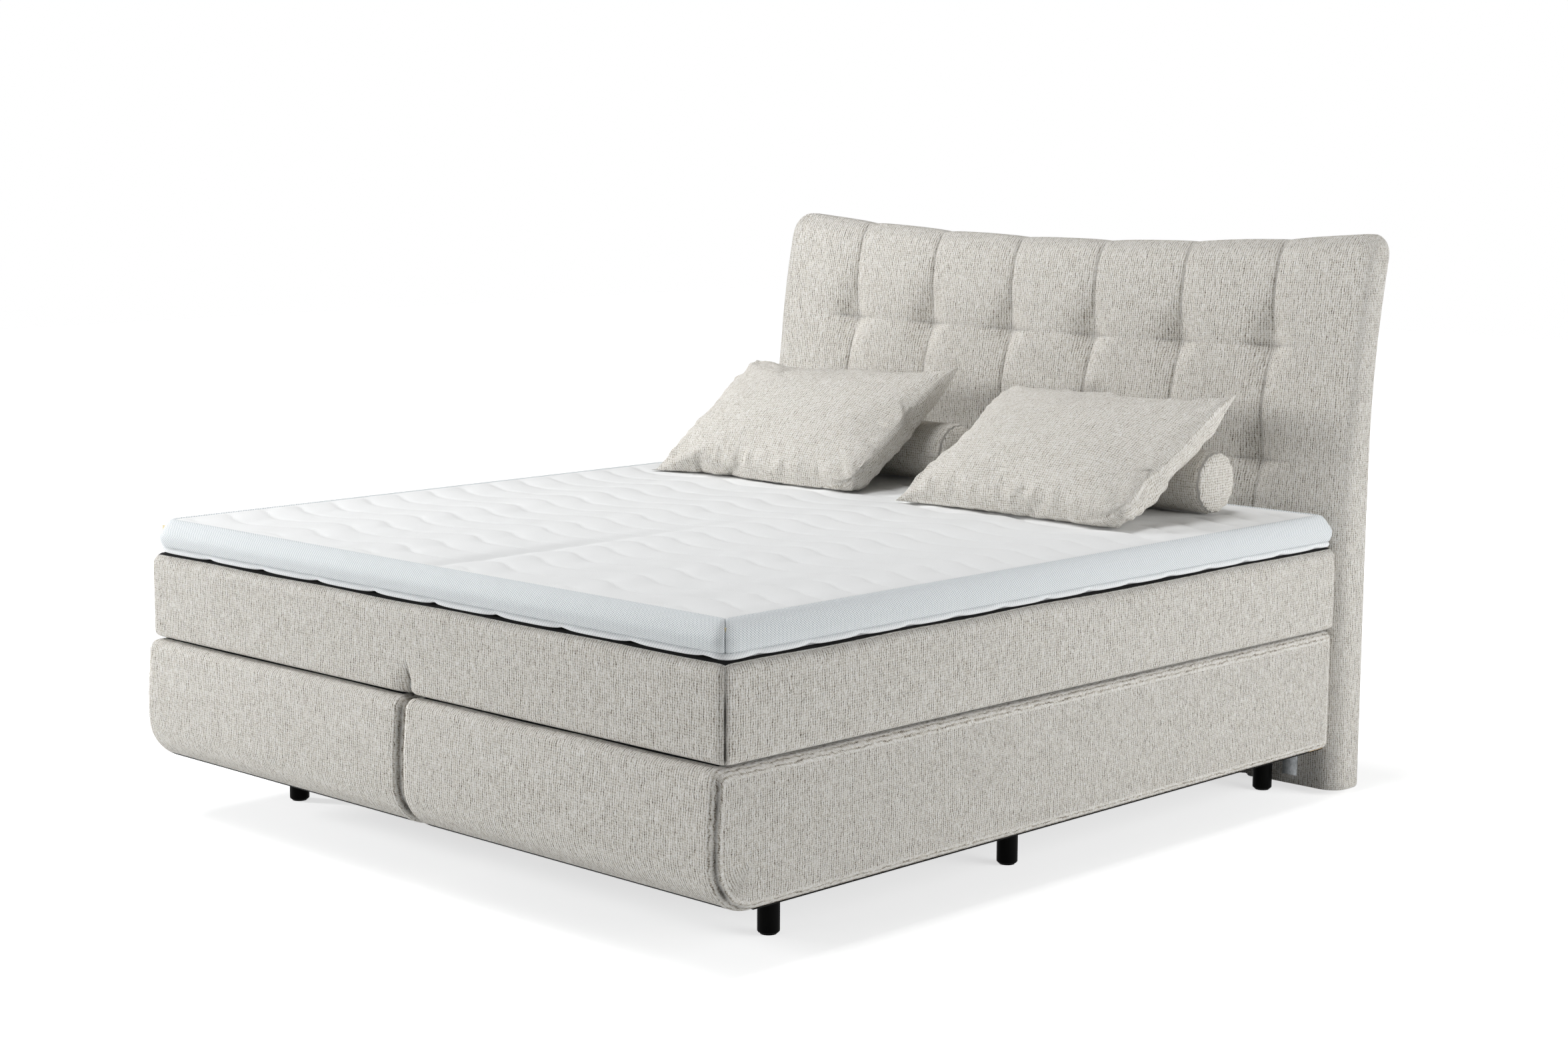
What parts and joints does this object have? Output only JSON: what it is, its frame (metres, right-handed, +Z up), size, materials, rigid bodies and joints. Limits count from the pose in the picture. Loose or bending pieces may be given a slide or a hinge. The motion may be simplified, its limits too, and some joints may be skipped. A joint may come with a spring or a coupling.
{
  "type": "box spring bed",
  "caption": "Upholstered box spring bed with mattress, quilted topper, tufted bent headboard, loose cushions and bolsters, on round black legs.",
  "frame": {"origin": "on the floor under the middle of the bed", "axes": "+Y from the foot to the headboard, +X to the right seen from the foot, +Z up"},
  "size_m": [1.876, 2.2076, 1.3184],
  "materials": {
    "upholstery": "greige chenille with slubs",
    "cushion_cloth": "greige chenille with slubs",
    "topper_cloth": "cool white knitted ticking",
    "foam": "cream polyether foam",
    "spring_felt": "pale non-woven",
    "timber": "sawn softwood",
    "plywood": "birch plywood",
    "black_cloth": "black non-woven",
    "black_lacquer": "black powder coat, semi-matt",
    "zinc_steel": "zinc plated",
    "black_plastic": "black moulded plastic"
  },
  "bodies": {
    "bed_base": {"box_left_cover": "upholstery", "box_left_cross_bar_foot": "timber", "box_left_cross_bar_mid": "timber", "box_left_deck_board": "plywood", "box_left_dust_cover": "black_cloth", "box_left_foot_foam": "foam", "box_left_foot_rail": "timber", "box_left_head_rail": "timber", "box_left_leg_inner_head": "black_lacquer", "box_left_leg_inner_mid": "black_lacquer", "box_left_leg_outer_foot": "black_lacquer", "box_left_leg_outer_head": "black_lacquer", "box_left_leg_outer_mid": "black_lacquer", "box_left_side_rail_inner": "timber", "box_left_side_rail_outer": "timber", "box_left_spring_core": "spring_felt", "box_left_top_pad": "foam", "box_right_cover": "upholstery", "box_right_cross_bar_foot": "timber", "box_right_cross_bar_mid": "timber", "box_right_deck_board": "plywood", "box_right_dust_cover": "black_cloth", "box_right_foot_foam": "foam", "box_right_foot_rail": "timber", "box_right_head_rail": "timber", "box_right_leg_inner_head": "black_lacquer", "box_right_leg_inner_mid": "black_lacquer", "box_right_leg_outer_foot": "black_lacquer", "box_right_leg_outer_head": "black_lacquer", "box_right_leg_outer_mid": "black_lacquer", "box_right_side_rail_inner": "timber", "box_right_side_rail_outer": "timber", "box_right_spring_core": "spring_felt", "box_right_top_pad": "foam", "head_board": "plywood", "head_bracket_left": "zinc_steel", "head_bracket_right": "zinc_steel", "head_cushion": "upholstery", "head_glide_left": "black_plastic", "head_glide_right": "black_plastic", "head_lining": "upholstery", "head_rail_bottom": "timber", "head_rail_mid": "timber", "head_rail_top": "timber", "head_stile_left": "timber", "head_stile_right": "timber", "link_plate_foot": "zinc_steel", "link_plate_head": "zinc_steel"},
    "mattress": {"mattress_comfort_layer": "foam", "mattress_core_left": "spring_felt", "mattress_core_right": "spring_felt", "mattress_cover": "upholstery", "mattress_underside": "topper_cloth"},
    "topper": {"topper_core": "foam", "topper_cover": "topper_cloth", "topper_underside": "topper_cloth"},
    "bolster_left": {"bolster_left": "cushion_cloth"},
    "bolster_right": {"bolster_right": "cushion_cloth"},
    "pillow_left": {"pillow_left": "cushion_cloth"},
    "pillow_right": {"pillow_right": "cushion_cloth"}
  },
  "joints": [
    {"name": "mattress_lift", "type": "slide", "parent": "bed_base", "child": "mattress", "axis": [0, 0, 1], "range_m": [0, 0.95]},
    {"name": "topper_lift", "type": "slide", "parent": "mattress", "child": "topper", "axis": [0, 0, 1], "range_m": [0, 0.75]},
    {"name": "bolster_left_lift", "type": "slide", "parent": "topper", "child": "bolster_left", "axis": [0, 0, 1], "range_m": [0, 0.7]},
    {"name": "bolster_right_lift", "type": "slide", "parent": "topper", "child": "bolster_right", "axis": [0, 0, 1], "range_m": [0, 0.7]},
    {"name": "pillow_left_lift", "type": "slide", "parent": "bolster_left", "child": "pillow_left", "axis": [0, 0, 1], "range_m": [0, 0.7]},
    {"name": "pillow_right_lift", "type": "slide", "parent": "bolster_right", "child": "pillow_right", "axis": [0, 0, 1], "range_m": [0, 0.7]}
  ]
}
